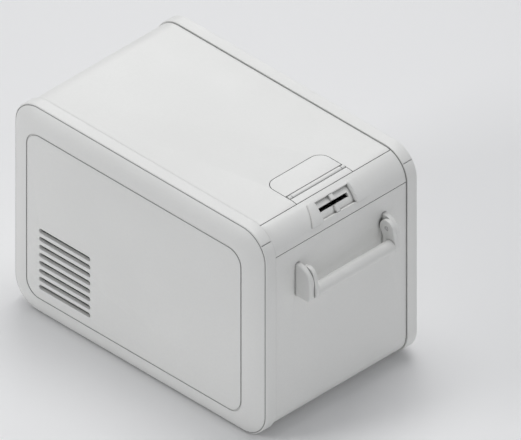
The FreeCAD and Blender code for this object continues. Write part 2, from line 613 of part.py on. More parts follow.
def make_mech_plates():
    """Two steel plates that carry the roll, the platen and the cutter."""
    plate = box(PLATE_X[0], PLATE_X[1], PLATE_IN_Y, PLATE_IN_Y + PLATE_T, FLOOR_Z, PLATE_TOP_Z)
    slope = Part.makePolygon([V(PLATE_X[0] - 1, 0, 104), V(40, 0, PLATE_TOP_Z + 1),
                              V(PLATE_X[0] - 1, 0, PLATE_TOP_Z + 1), V(PLATE_X[0] - 1, 0, 104)])
    plate = plate.cut(Part.Face(slope).extrude(V(0, 60, 0)))
    plate = plate.cut(rounded_block_y(-18, 40, 16, 70, 8, 20, 40))
    plate = plate.cut(rounded_block_y(52, 80, 16, 72, 8, 20, 40))
    foot = box(PLATE_X[0], PLATE_X[1], PLATE_IN_Y + PLATE_T, PLATE_IN_Y + 10, FLOOR_Z, FLOOR_Z + PLATE_T)
    plate = join([plate, foot]).common(shell_block(WALL, 0, RIM_IN_Y))
    for (x, z), radius in ((SPOOL, SPOOL_SHAFT_R), (PLATEN, 5.0), (IDLER, 2.0), (FEED_MOTOR, 3.0)):
        plate = plate.cut(cyl_y(x, z, radius, 20, 40))
    keep("mech_plate_right", plate)
    keep("mech_plate_left", mirror_y(plate))


def make_platen():
    """Rubber platen on its steel shaft, turning in two bushes, with its gear."""
    x, z = PLATEN
    shaft = cyl_y(x, z, PLATEN_SHAFT_R, -PLATE_IN_Y - 3, GEAR_Y[1] + 1)
    keep("platen_shaft", shaft)
    roller = cyl_y(x, z, PLATEN_R, -25, 25).cut(cyl_y(x, z, PLATEN_SHAFT_R, -26, 26))
    keep("platen_roller", roller)
    bush = cyl_y(x, z, 5.0, PLATE_IN_Y - 1.5, PLATE_IN_Y + PLATE_T)
    bush = bush.cut(cyl_y(x, z, PLATEN_SHAFT_R + RUN_CLEAR, 20, 40))
    keep("platen_bushes", Part.makeCompound(both_sides(bush)))
    keep("platen_gear", gear(1.0, PLATEN_TEETH, IDLER_DEG, x, z, *GEAR_Y, PLATEN_SHAFT_R))


def make_gear_train():
    """Idler and motor pinion that drive the platen."""
    phase = IDLER_DEG + 180 + 180 / IDLER_TEETH
    keep("idler_gear", gear(1.0, IDLER_TEETH, phase, *IDLER, *GEAR_Y, 2.0 + RUN_CLEAR))
    keep("idler_axle", cyl_y(*IDLER, 2.0, PLATE_IN_Y - 1, GEAR_Y[1] + 1))
    offset = (phase - PINION_DEG) % (360 / IDLER_TEETH)
    phase = PINION_DEG + 180 - offset * IDLER_TEETH / PINION_TEETH + 180 / PINION_TEETH
    pinion = gear(1.0, PINION_TEETH, phase, *FEED_MOTOR, *GEAR_Y, 1.0)
    keep("feed_pinion", join([pinion, cyl_y(*FEED_MOTOR, 1.0, PLATE_IN_Y, GEAR_Y[1] + 0.5)]))
    can = cyl_y(*FEED_MOTOR, 8.5, 6, PLATE_IN_Y)
    keep("feed_motor", can.cut(cyl_y(*FEED_MOTOR, 1.0 + RUN_CLEAR, PLATE_IN_Y - 1, PLATE_IN_Y + 1)))


def make_print_head():
    """Thermal head pressed towards the platen by two springs on a cross bar."""
    front = PLATEN[0] - PLATEN_R - 0.3
    head = box(front - 1.2, front, -24, 24, 110, 133)
    keep("print_head", head)
    sink = box(front - 4.2, front - 1.2, -25, 25, 108, 133)
    fins = [box(front - 8.2, front - 4.2, y - 0.7, y + 0.7, 108, 133) for y in range(-24, 25, 6)
            if abs(abs(y) - 12) > 1]
    keep("head_heatsink", join([sink] + fins))
    bar = box(front - 16, front - 13, -PLATE_IN_Y, PLATE_IN_Y, 112, 130)
    keep("head_crossbar", bar)
    spring = cyl_x(12, 121, 3.0, front - 13, front - 4.2).cut(cyl_x(12, 121, 2.2, 0, 90))
    keep("head_springs", Part.makeCompound(both_sides(spring)))


def make_label_roll():
    """Roll of blank labels on its spool, turning on a fixed shaft."""
    x, z = SPOOL
    keep("label_roll", cyl_y(x, z, ROLL_R, -22, 22).cut(cyl_y(x, z, SPOOL_CORE_R + 0.1, -23, 23)))
    core = cyl_y(x, z, SPOOL_CORE_R, -24.5, 24.5)
    flanges = both_sides(cyl_y(x, z, 30, 22.5, 24.5))
    spool = join([core] + flanges).cut(cyl_y(x, z, SPOOL_SHAFT_R + RUN_CLEAR, -30, 30))
    for count in range(SPOOL_HOLES):
        turn = 2 * math.pi * count / SPOOL_HOLES
        spool = spool.cut(cyl_y(x + 21 * math.cos(turn), z + 21 * math.sin(turn), 5, -30, 30))
    keep("label_spool", spool)
    keep("spool_shaft", cyl_y(x, z, SPOOL_SHAFT_R, -PLATE_IN_Y - 3, PLATE_IN_Y + 3))


def make_label_guide():
    """Sheet that leads the label from the roll to the print head."""
    y = PLATE_IN_Y
    floor = box(27, 47, -y, y, 112, 113.2)
    lips = [box(27, 47, y0, y1, 113.2, 117) for y0, y1 in both_ways((23.5, 24.7))]
    keep("label_guide", join([floor] + lips))


def make_cutter():
    """Guillotine: a fixed blade on a bridge, and a blade raised by rack and pinion."""
    bridge = box(BLADE_X + 2.6, BLADE_X + 6.0, -PLATE_IN_Y, PLATE_IN_Y, 133, 139)
    keep("cutter_bridge", bridge)
    fixed = box(BLADE_X + 1.4, BLADE_X + 2.6, -BLADE_HALF_Y, BLADE_HALF_Y, 132, 138.5)
    keep("cutter_fixed_blade", fixed)
    keep("cutter_blade", sliding_blade())
    keep("cutter_rack", cutter_rack())
    pinion = gear(CUT_MODULE, CUT_TEETH, 180 / CUT_TEETH, *CUT_MOTOR, *RACK_Y, 1.0)
    keep("cutter_pinion", join([pinion, cyl_y(*CUT_MOTOR, 1.0, 22, RACK_Y[1])]))
    can = cyl_y(*CUT_MOTOR, 7.5, -6, RACK_Y[0] - 0.5)
    keep("cutter_motor", can.cut(cyl_y(*CUT_MOTOR, 1.0 + RUN_CLEAR, 21.8, 26)))


def sliding_blade():
    """Blade with a slanting edge, and an ear at its right end for the rack."""
    low, ear_top = 109.0, 124.0
    outline = [V(BLADE_X, -BLADE_HALF_Y, low), V(BLADE_X, -BLADE_HALF_Y, ear_top + 4),
               V(BLADE_X, BLADE_HALF_Y, ear_top), V(BLADE_X, RACK_Y[1], ear_top), V(BLADE_X, RACK_Y[1], low)]
    return Part.Face(Part.makePolygon(outline + [outline[0]])).extrude(V(1.2, 0, 0))


def cutter_rack():
    """Toothed bar that lifts the sliding blade."""
    back = box(RACK_X + CUT_MODULE * 1.2, BLADE_X, *RACK_Y, 82, 123)
    step = math.pi * CUT_MODULE
    root = RACK_X + CUT_MODULE * 1.2 + 0.01
    tip = RACK_X - CUT_MODULE * 0.8
    teeth = []
    for place in range(-7, 2):
        z = CUT_MOTOR[1] + place * step
        outline = [V(root, RACK_Y[0], z - 0.26 * step), V(tip, RACK_Y[0], z - 0.09 * step),
                   V(tip, RACK_Y[0], z + 0.09 * step), V(root, RACK_Y[0], z + 0.26 * step)]
        tooth = Part.Face(Part.makePolygon(outline + [outline[0]]))
        teeth.append(tooth.extrude(V(0, RACK_Y[1] - RACK_Y[0], 0)))
    return join([back] + teeth)


# ---------------------------------------------------------------- fan
FAN_SIZE = 40.0
FAN_THICK = 10.0
FAN_X = (VENT_X[0] + VENT_X[1]) / 2
FAN_Z = (VENT_Z[0] + VENT_Z[1]) / 2
FAN_OUT_Y = -(CROWN_Y - COVER_WALL)
FAN_IN_Y = FAN_OUT_Y + FAN_THICK


def make_fan():
    """Square fan frame with a motor hub, and its impeller."""
    half = FAN_SIZE / 2
    frame = rounded_block_y(FAN_X - half, FAN_X + half, FAN_Z - half, FAN_Z + half, 3, FAN_OUT_Y, FAN_IN_Y)
    frame = frame.cut(cyl_y(FAN_X, FAN_Z, 19.0, FAN_OUT_Y - 1, FAN_IN_Y + 1))
    struts = [box(FAN_X - 19.5, FAN_X + 19.5, FAN_IN_Y - 1.4, FAN_IN_Y, FAN_Z - 1.2, FAN_Z + 1.2),
              box(FAN_X - 1.2, FAN_X + 1.2, FAN_IN_Y - 1.4, FAN_IN_Y, FAN_Z - 19.5, FAN_Z + 19.5),
              cyl_y(FAN_X, FAN_Z, 8.5, FAN_IN_Y - 2.0, FAN_IN_Y),
              cyl_y(FAN_X, FAN_Z, 1.5, FAN_IN_Y - 6.0, FAN_IN_Y)]
    keep("fan_frame", join([frame] + struts))
    low, high = FAN_OUT_Y + 1.0, FAN_IN_Y - 2.4
    hub = cyl_y(FAN_X, FAN_Z, 9.0, low, high)
    blades = []
    for count in range(7):
        blade = box(FAN_X + 8.5, FAN_X + 18.0, (low + high) / 2 - 0.5, (low + high) / 2 + 0.5,
                    FAN_Z - 4.2, FAN_Z + 4.2)
        blade = blade.rotate(V(FAN_X, (low + high) / 2, FAN_Z), V(1, 0, 0), 32)
        blades.append(blade.rotate(V(FAN_X, 0, FAN_Z), V(0, 1, 0), 360 / 7 * count))
    impeller = join([hub] + blades)
    keep("fan_impeller", impeller.cut(cyl_y(FAN_X, FAN_Z, 1.5 + RUN_CLEAR, FAN_IN_Y - 6.1, high + 1)))


# ---------------------------------------------------------------- electronics
BOARD_Z = 14.0
BOARD_T = 1.6
POST_R = 2.6
PILOT_R = 1.2              # screw holes in the boards and their posts
BOARD_X = (-92.0, -34.0)
MAIN_Y = (-6.0, 52.0)
POWER_Y = (-54.0, -10.0)
BOARD_POSTS = [(x, y) for x in (-88.0, -38.0) for y in (0.0, 46.0)]
POWER_POSTS = [(x, y) for x in (-88.0, -38.0) for y in (-50.0, -14.0)]
INLET_Y = -32.0
INLET_Z = 27.0
INLET_R = 4.5
DATA_Y = 12.0
DATA_Z = 27.0
DATA_HALF = (4.7, 1.75)    # half width and half height of the data socket
SWITCH_Y = 40.0
SWITCH_Z = 34.0
SWITCH_HALF = (6.6, 9.7)   # half width and half height of the switch
SWITCH_WALL = 1.2
ROCKER_PIVOT_X = -112.6
ROCKER_AXLE_R = 1.2
ROCKER_HALF_Y = 5.1
REAR_IN_X = SHELL_REAR_X + WALL


def circuit_board(x_span, y_span, posts, blocks):
    """Board on its posts with components as (x0, x1, y0, y1, height) blocks."""
    board = box(*x_span, *y_span, BOARD_Z, BOARD_Z + BOARD_T)
    top = BOARD_Z + BOARD_T
    for x0, x1, y0, y1, height in blocks:
        board = join([board, box(x0, x1, y0, y1, top - 0.2, top + height)])
    for x, y in posts:
        board = board.cut(cyl_z(x, y, PILOT_R, BOARD_Z - 1, top + 1))
    return board


def make_boards():
    """Main board and power board on the base tray, with their screws."""
    chips = [(-74, -60, 14, 28, 1.4), (-54, -46, 10, 22, 1.0), (-84, -76, 32, 44, 3.0),
             (-66, -48, 36, 42, 6.0), (-50, -44, 28, 34, 1.2), (-72, -64, 2, 8, 2.0)]
    main = circuit_board(BOARD_X, MAIN_Y, BOARD_POSTS, chips)
    keep("main_board", main)
    parts = [(-80, -60, -46, -28, 16.0), (-56, -50, -46, -30, 10.0), (-84, -74, -22, -14, 8.0)]
    power = circuit_board(BOARD_X, POWER_Y, POWER_POSTS, parts)
    cans = [cyl_z(x, -20, 4.0, BOARD_Z + BOARD_T - 0.2, BOARD_Z + 16) for x in (-66.0, -56.0)]
    keep("power_board", join([power] + cans))
    screws = []
    for x, y in BOARD_POSTS + POWER_POSTS:
        top = BOARD_Z + BOARD_T
        screws.append(join([cyl_z(x, y, 2.4, top, top + 1.6), cyl_z(x, y, PILOT_R, FLOOR_Z + 1, top + 0.5)]))
    keep("board_screws", Part.makeCompound(screws))


def make_sockets():
    """Power inlet and data socket behind their holes in the rear panel."""
    inlet = box(REAR_IN_X, REAR_IN_X + 12, INLET_Y - 5.5, INLET_Y + 5.5, INLET_Z - 6, INLET_Z + 6)
    inlet = join([inlet, cyl_x(INLET_Y, INLET_Z, INLET_R, SHELL_REAR_X + 0.4, REAR_IN_X + 1)])
    inlet = inlet.cut(cyl_x(INLET_Y, INLET_Z, 3.2, SHELL_REAR_X - 1, REAR_IN_X + 8))
    keep("power_inlet", join([inlet, cyl_x(INLET_Y, INLET_Z, 1.0, SHELL_REAR_X + 2, REAR_IN_X + 9)]))
    data = box(REAR_IN_X, REAR_IN_X + 8, DATA_Y - 5.2, DATA_Y + 5.2, DATA_Z - 2.2, DATA_Z + 2.2)
    data = join([data, rounded_slot_x(DATA_Y, DATA_Z, *DATA_HALF, SHELL_REAR_X + 0.4, REAR_IN_X + 1)])
    data = data.cut(rounded_slot_x(DATA_Y, DATA_Z, 4.2, 1.3, SHELL_REAR_X - 1, REAR_IN_X + 6.5))
    tongue = box(SHELL_REAR_X + 1.2, REAR_IN_X + 7, DATA_Y - 3.3, DATA_Y + 3.3, DATA_Z - 0.35, DATA_Z + 0.35)
    keep("data_socket", join([data, tongue]))


def make_power_switch():
    """Rocker switch: a body in the rear panel and the rocker on its axle."""
    x, y, z = ROCKER_PIVOT_X, SWITCH_Y, SWITCH_Z
    wide, high = SWITCH_HALF
    body = box(SHELL_REAR_X, REAR_IN_X + 12, y - wide, y + wide, z - high, z + high)
    wide, high = wide - SWITCH_WALL, high - SWITCH_WALL
    body = body.cut(box(SHELL_REAR_X - 1, REAR_IN_X + 8, y - wide, y + wide, z - high, z + high))
    axle = cyl_y(x, z, ROCKER_AXLE_R, y - wide - 0.2, y + wide + 0.2)
    keep("switch_body", join([body, axle]))
    side = y - ROCKER_HALF_Y
    profile = [V(x - 2.6, side, z - 7.2), V(x - 1.6, side, z), V(x - 3.8, side, z + 7.2),
               V(x + 4.1, side, z + 5.0), V(x + 4.1, side, z - 5.0)]
    rocker = Part.Face(Part.makePolygon(profile + [profile[0]])).extrude(V(0, 2 * ROCKER_HALF_Y, 0))
    rocker = join([rocker, cyl_y(x + 1, z, 3.4, side, y + ROCKER_HALF_Y)])
    keep("switch_rocker", rocker.cut(cyl_y(x, z, ROCKER_AXLE_R + RUN_CLEAR, y - 6, y + 6)))


# ---------------------------------------------------------------- buttons
BUTTON_FACE_Y = CROWN_Y - 0.1
BUTTON_FLANGE_Y = 69.3
BUTTON_BOARD_Y = 58.6
BUTTON_TRAVEL = 1.2
TACT_TOP_Y = 63.0


def push_button(x):
    """Round button with a flange behind the cover and a stem to its switch."""
    z = RIGHT_BUTTON_Z
    face = cyl_y(x, z, BUTTON_R, BUTTON_FLANGE_Y - 1.2, BUTTON_FACE_Y)
    face = face.makeChamfer(0.5, [e for e in face.Edges if e.BoundBox.YMin > BUTTON_FACE_Y - 0.01])
    flange = cyl_y(x, z, BUTTON_R + 1.4, BUTTON_FLANGE_Y - 1.2, BUTTON_FLANGE_Y)
    stem = cyl_y(x, z, 1.8, TACT_TOP_Y + BUTTON_TRAVEL + 0.1, BUTTON_FLANGE_Y - 1)
    return join([face, flange, stem])


def make_buttons():
    """Power and feed buttons with return springs, their board and the status light."""
    z = RIGHT_BUTTON_Z
    board = box(16, 68, BUTTON_BOARD_Y, BUTTON_BOARD_Y + BOARD_T, z - 12, z + 12)
    tacts = [box(x - 3, x + 3, BUTTON_BOARD_Y + 1, BUTTON_BOARD_Y + 3.6, z - 3, z + 3)
             for x in (POWER_BUTTON_X, FEED_BUTTON_X)]
    plungers = [cyl_y(x, z, 1.6, BUTTON_BOARD_Y + 3, TACT_TOP_Y) for x in (POWER_BUTTON_X, FEED_BUTTON_X)]
    keep("button_board", join([board] + tacts + plungers))
    for name, x in (("power_button", POWER_BUTTON_X), ("feed_button", FEED_BUTTON_X)):
        keep(name, push_button(x))
        spring = cyl_y(x, z, 5.4, BUTTON_BOARD_Y + BOARD_T, BUTTON_FLANGE_Y - 1.2)
        keep(name + "_spring", spring.cut(cyl_y(x, z, 4.6, BUTTON_BOARD_Y, BUTTON_FLANGE_Y)))
    keep("light_pipe", cyl_y(LIGHT_X, z, LIGHT_R, BUTTON_BOARD_Y + BOARD_T, BUTTON_FACE_Y))


# ---------------------------------------------------------------- build
def main():
    """Make every sub-part and write one file for each."""
    for make in (make_left_cover, make_right_cover, make_base_tray, make_front_panel,
                 make_rear_panel, make_lid, make_lid_hinge_pins, make_exit_flap, make_flap_pin,
                 make_exit_bezel, make_exit_guide, make_handle_brackets, make_handle,
                 make_side_frames, make_cover_screws, make_feet, make_handle_screws,
                 make_mech_plates, make_platen, make_gear_train, make_print_head,
                 make_label_roll, make_label_guide, make_cutter, make_fan, make_boards,
                 make_sockets, make_power_switch, make_buttons):
        make()
    os.makedirs("parts", exist_ok=True)
    for name, shape in PARTS.items():
        shape.exportStep("parts/" + name + ".step")
        closed = all(solid.isClosed() and solid.isValid() for solid in shape.Solids)
        print(f"{name:22s} solids {len(shape.Solids):2d}  cm3 {shape.Volume / 1000:8.3f}  closed {closed}")


main()
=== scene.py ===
import json
import math

import bmesh
import bpy
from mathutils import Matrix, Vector


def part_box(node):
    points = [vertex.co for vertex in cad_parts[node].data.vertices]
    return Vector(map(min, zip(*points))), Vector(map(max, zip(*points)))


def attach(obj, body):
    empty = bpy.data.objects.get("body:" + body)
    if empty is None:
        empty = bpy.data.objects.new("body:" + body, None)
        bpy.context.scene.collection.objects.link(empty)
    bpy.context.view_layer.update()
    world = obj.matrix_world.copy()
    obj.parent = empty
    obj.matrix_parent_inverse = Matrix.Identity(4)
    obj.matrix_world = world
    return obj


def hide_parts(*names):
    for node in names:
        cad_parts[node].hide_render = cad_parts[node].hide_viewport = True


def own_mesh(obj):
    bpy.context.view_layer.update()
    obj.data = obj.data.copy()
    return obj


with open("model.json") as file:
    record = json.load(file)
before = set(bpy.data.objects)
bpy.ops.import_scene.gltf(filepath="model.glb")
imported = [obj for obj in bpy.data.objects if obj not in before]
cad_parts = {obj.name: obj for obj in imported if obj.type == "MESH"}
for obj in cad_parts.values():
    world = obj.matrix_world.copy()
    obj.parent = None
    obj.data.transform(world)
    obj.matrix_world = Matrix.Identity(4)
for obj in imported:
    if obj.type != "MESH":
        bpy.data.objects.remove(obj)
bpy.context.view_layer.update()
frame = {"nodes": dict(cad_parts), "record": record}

RECORD = frame["record"]
NODES = frame["nodes"]
BODY_OF = {node: body for body, nodes in RECORD["behaviour"]["bodies"].items() for node in nodes}
SLOT_OF = {entry["node"]: entry["material_slot"] for entry in RECORD["subparts"]}
COLOUR_OF = {entry["slot"]: tuple(entry["base_color"][:3]) + (1.0,) for entry in RECORD["materials"]}
MM = 0.001

# ------------------------------------------------------------------ camera
VIEW_AZIMUTH = 45.0          # degrees, from the front left corner
VIEW_ELEVATION = 35.66
VIEW_WIDTH = 322.5 * MM      # width of the picture at the object
AIM_RIGHT = 22.5 * MM        # picture centre, right of and above the footprint's middle
AIM_UP = 69.4 * MM
CAMERA_DISTANCE = 1.4
CLIP_END = 20


def make_camera():
    """Parallel-projection camera above the front left corner."""
    turn = math.radians(VIEW_AZIMUTH)
    rise = math.radians(VIEW_ELEVATION)
    forward = Vector((-math.sin(turn) * math.cos(rise), math.cos(turn) * math.cos(rise), -math.sin(rise)))
    right = Vector((math.cos(turn), math.sin(turn), 0))
    up = right.cross(forward)
    camera = bpy.data.objects.new("camera", bpy.data.cameras.new("camera"))
    bpy.context.collection.objects.link(camera)
    camera.data.type = "ORTHO"
    camera.data.ortho_scale = VIEW_WIDTH
    camera.data.clip_end = CLIP_END
    camera.location = right * AIM_RIGHT + up * AIM_UP - forward * CAMERA_DISTANCE
    camera.rotation_euler = forward.to_track_quat("-Z", "Y").to_euler()
    bpy.context.scene.camera = camera


# ------------------------------------------------------------------ shader helpers
def new_tree(name):
    """New material with its node tree and its main shader."""
    material = bpy.data.materials.new(name)
    material.use_nodes = True
    tree = material.node_tree
    return material, tree, tree.nodes["Principled BSDF"]


def add(tree, kind, inputs=None, **settings):
    """New node with its settings; an input is a number, a colour or another node's output."""
    node = tree.nodes.new(kind)
    for key, value in settings.items():
        setattr(node, key, value)
    for key, value in (inputs or {}).items():
        if isinstance(value, bpy.types.NodeSocket):
            tree.links.new(value, node.inputs[key])
        else:
            node.inputs[key].default_value = value
    return node


def position(tree, scale=(1, 1, 1)):
    """Place on the object in metres, stretched by scale."""
    coordinates = add(tree, "ShaderNodeTexCoord")
    inputs = {"Vector": coordinates.outputs["Object"], "Scale": scale}
    return add(tree, "ShaderNodeMapping", inputs).outputs[0]


def noise(tree, vector, scale, detail=3.0):
    """Grey noise with features of about 1 / scale metres."""
    return add(tree, "ShaderNodeTexNoise", {"Vector": vector, "Scale": scale, "Detail": detail}).outputs[0]


def spread(tree, value, low, high, from_low=0.3, from_high=0.7):
    """The value moved from one range of numbers to another."""
    return add(tree, "ShaderNodeMapRange", {"Value": value, "From Min": from_low, "From Max": from_high,
                                            "To Min": low, "To Max": high}).outputs[0]


def blend_colour(tree, factor, first, second):
    """Colour between first and second."""
    node = add(tree, "ShaderNodeMix", data_type="RGBA")
    for index, value in ((0, factor), (6, first), (7, second)):
        if isinstance(value, bpy.types.NodeSocket):
            tree.links.new(value, node.inputs[index])
        else:
            node.inputs[index].default_value = value
    return node.outputs[2]


def shade(colour, factor):
    """The colour made darker or lighter."""
    return tuple(min(1.0, channel * factor) for channel in colour[:3]) + (1.0,)


def rounded_normal(tree, radius):
    """Normal that rounds sharp edges by radius, and a mask that is 1 on those edges."""
    bevel = add(tree, "ShaderNodeBevel", {"Radius": radius}, samples=6)
    true_normal = add(tree, "ShaderNodeNewGeometry").outputs["Normal"]
    alike = add(tree, "ShaderNodeVectorMath", {0: bevel.outputs[0], 1: true_normal}, operation="DOT_PRODUCT")
    return bevel.outputs[0], spread(tree, alike.outputs["Value"], 1.0, 0.0, 0.80, 0.985)


def painted_crevice_shade(tree, reach):
    """Mask of painted shade that is 1 deep in seams, slots and inner corners."""
    open_air = add(tree, "ShaderNodeAmbientOcclusion", {"Distance": reach}, samples=8).outputs["AO"]
    return spread(tree, open_air, 1.0, 0.0, 0.25, 0.85)


def bumped(tree, height, distance, normal=None):
    """Normal raised by a height map."""
    inputs = {"Height": height, "Distance": distance, "Strength": 1.0}
    if normal is not None:
        inputs["Normal"] = normal
    return add(tree, "ShaderNodeBump", inputs).outputs[0]


# ------------------------------------------------------------------ materials
CREVICE_SHADE_REACH = 2.2 * MM       # painted shade darkens corners narrower than this
TIN = (0.72, 0.70, 0.62, 1)  # soldered pads


def moulded_plastic(slot, roughness=0.42, grain=3200, depth=0.00002, edge=0.35 * MM, gloss=0.45):
    """Spark-eroded moulded plastic with slightly polished edges, painted shade along its sharp edges and
    painted shade in its seams and corners.
    """
    colour = COLOUR_OF[slot]
    material, tree, shader = new_tree(slot)
    place = position(tree)
    normal, edges = rounded_normal(tree, edge)
    cloud = noise(tree, place, 9, 2)
    speck = noise(tree, place, 700, 2)
    tone = blend_colour(tree, spread(tree, cloud, 0, 1), shade(colour, 0.965), shade(colour, 1.02))
    tone = blend_colour(tree, spread(tree, speck, 0, 0.25), tone, shade(colour, 0.93))
    # painted shade: sharp edges darkened towards 0.86 of the colour, like drawn outlines
    tone = blend_colour(tree, spread(tree, edges, 0, 0.35, 0, 1), tone, shade(colour, 0.86))
    # painted shade: seams, slots and inner corners darkened towards 0.3 of the colour
    tone = blend_colour(tree, painted_crevice_shade(tree, CREVICE_SHADE_REACH), tone, shade(colour, 0.3))
    rough = spread(tree, noise(tree, place, 45, 4), roughness - 0.05, roughness + 0.06)
    rough_edge = add(tree, "ShaderNodeMath", {0: edges, 1: -0.10}, operation="MULTIPLY").outputs[0]
    rough = add(tree, "ShaderNodeMath", {0: rough, 1: rough_edge}, operation="ADD").outputs[0]
    tree.links.new(tone, shader.inputs["Base Color"])
    tree.links.new(rough, shader.inputs["Roughness"])
    tree.links.new(bumped(tree, noise(tree, place, grain, 2), depth, normal), shader.inputs["Normal"])
    shader.inputs["Specular IOR Level"].default_value = gloss
    return material


def brushed_metal(slot, stretch, roughness=0.32, scratch=600):
    """Rolled or drawn metal with fine lines along one direction."""
    colour = COLOUR_OF[slot]
    material, tree, shader = new_tree(slot)
    place = position(tree, stretch)
    normal, edges = rounded_normal(tree, 0.2 * MM)
    lines = noise(tree, place, scratch, 4)
    stain = noise(tree, position(tree), 30, 3)
    tone = blend_colour(tree, spread(tree, lines, 0, 1), shade(colour, 0.86), shade(colour, 1.08))
    tone = blend_colour(tree, spread(tree, stain, 0, 0.3), tone, shade(colour, 0.75))
    # painted highlight: sharp edges lightened towards 1.25 of the colour
    tone = blend_colour(tree, spread(tree, edges, 0, 0.5, 0, 1), tone, shade(colour, 1.25))
    tree.links.new(tone, shader.inputs["Base Color"])
    tree.links.new(spread(tree, lines, roughness - 0.07, roughness + 0.1), shader.inputs["Roughness"])
    tree.links.new(bumped(tree, lines, 0.000008, normal), shader.inputs["Normal"])
    shader.inputs["Metallic"].default_value = 1.0
    return material


def ground_rubber(slot, roughness=0.72):
    """Rubber with a ground or moulded skin and dust in its pores."""
    colour = COLOUR_OF[slot]
    material, tree, shader = new_tree(slot)
    place = position(tree)
    pores = noise(tree, place, 1800, 3)
    dust = noise(tree, place, 90, 5)
    tone = blend_colour(tree, spread(tree, dust, 0, 0.5), colour, shade(colour, 2.2))
    tree.links.new(tone, shader.inputs["Base Color"])
    tree.links.new(spread(tree, pores, roughness - 0.08, roughness + 0.1), shader.inputs["Roughness"])
    tree.links.new(bumped(tree, pores, 0.00004), shader.inputs["Normal"])
    return material


def wound_paper(slot):
    """Coated paper: its wound edge shows fine rings about the spool."""
    colour = COLOUR_OF[slot]
    low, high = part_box("label_roll")
    middle = (low + high) / 2
    material, tree, shader = new_tree(slot)
    coordinates = add(tree, "ShaderNodeTexCoord").outputs["Object"]
    place = add(tree, "ShaderNodeMapping", {"Vector": coordinates, "Location": (-middle.x, 0, -middle.z),
                                            "Scale": (1, 0, 1)}).outputs[0]
    rings = add(tree, "ShaderNodeTexWave", {"Vector": place, "Scale": 420, "Distortion": 0.6, "Detail": 2},
                wave_type="RINGS", rings_direction="SPHERICAL").outputs[1]
    fibre = noise(tree, position(tree), 900, 4)
    tone = blend_colour(tree, spread(tree, rings, 0, 0.45, 0, 1), colour, shade(colour, 0.78))
    tone = blend_colour(tree, spread(tree, fibre, 0, 0.25), tone, shade(colour, 0.9))
    tree.links.new(tone, shader.inputs["Base Color"])
    tree.links.new(spread(tree, fibre, 0.5, 0.68), shader.inputs["Roughness"])
    tree.links.new(bumped(tree, rings, 0.00003), shader.inputs["Normal"])
    return material


def circuit_board(slot):
    """Green solder mask with raised tracks and tinned pads."""
    colour = COLOUR_OF[slot]
    material, tree, shader = new_tree(slot)
    place = position(tree)
    tracks = add(tree, "ShaderNodeTexBrick", {"Vector": place, "Scale": 160, "Mortar Size": 0.06,
                                              "Brick Width": 1.7, "Row Height": 0.4}).outputs[1]
    pads = add(tree, "ShaderNodeTexVoronoi", {"Vector": place, "Scale": 260, "Randomness": 0.55}).outputs[0]
    pad_mask = spread(tree, pads, 1, 0, 0.16, 0.2)
    tone = blend_colour(tree, spread(tree, tracks, 0, 1, 0, 1), colour, shade(colour, 1.7))
    tone = blend_colour(tree, pad_mask, tone, TIN)
    tree.links.new(tone, shader.inputs["Base Color"])
    tree.links.new(spread(tree, pad_mask, 0.3, 0.2, 0, 1), shader.inputs["Roughness"])
    tree.links.new(bumped(tree, tracks, 0.00005), shader.inputs["Normal"])
    return material


def glazed_ceramic(slot):
    """Glazed head substrate with a fine heater line pattern."""
    colour = COLOUR_OF[slot]
    material, tree, shader = new_tree(slot)
    lines = add(tree, "ShaderNodeTexWave", {"Vector": position(tree), "Scale": 900, "Distortion": 0.1},
                bands_direction="Y").outputs[1]
    tone = blend_colour(tree, spread(tree, lines, 0, 0.6, 0, 1), colour, shade(colour, 0.55))
    tree.links.new(tone, shader.inputs["Base Color"])
    tree.links.new(spread(tree, lines, 0.12, 0.25, 0, 1), shader.inputs["Roughness"])
    return material


def clear_guide(slot):
    """Frosted light guide."""
    colour = COLOUR_OF[slot]
    material, tree, shader = new_tree(slot)
    frost = noise(tree, position(tree), 2500, 2)
    tree.links.new(blend_colour(tree, spread(tree, frost, 0, 1), colour, shade(colour, 1.1)),
                   shader.inputs["Base Color"])
    tree.links.new(spread(tree, frost, 0.15, 0.3), shader.inputs["Roughness"])
    shader.inputs["Transmission Weight"].default_value = 0.6
    return material


def make_materials():
    """One material for each slot of the record."""
    along_x, along_y, along_z = (1, 30, 30), (30, 1, 30), (30, 30, 1)
    return {
        "shell_plastic": moulded_plastic("shell_plastic"),
        "handle_plastic": moulded_plastic("handle_plastic", 0.36, 2600, 0.000015),
        "grip_plastic": moulded_plastic("grip_plastic", 0.5, 1800, 0.00003),
        "dark_plastic": moulded_plastic("dark_plastic", 0.5, 2400, 0.00003, gloss=0.35),
        "button_plastic": moulded_plastic("button_plastic", 0.3, 3000, 0.00001),
        "gear_plastic": moulded_plastic("gear_plastic", 0.38, 2000, 0.00001, 0.12 * MM),
        "steel_sheet": brushed_metal("steel_sheet", along_x, 0.4),
        "steel_bright": brushed_metal("steel_bright", along_y, 0.22, 900),
        "motor_steel": brushed_metal("motor_steel", along_y, 0.3),
        "heatsink_aluminium": brushed_metal("heatsink_aluminium", along_z, 0.35),
        "head_ceramic": glazed_ceramic("head_ceramic"),
        "platen_rubber": ground_rubber("platen_rubber", 0.65),
        "foot_rubber": ground_rubber("foot_rubber", 0.8),
        "label_paper": wound_paper("label_paper"),
        "board": circuit_board("board"),
        "socket_black": moulded_plastic("socket_black", 0.35, 2200, 0.00001),
        "light_guide": clear_guide("light_guide"),
    }


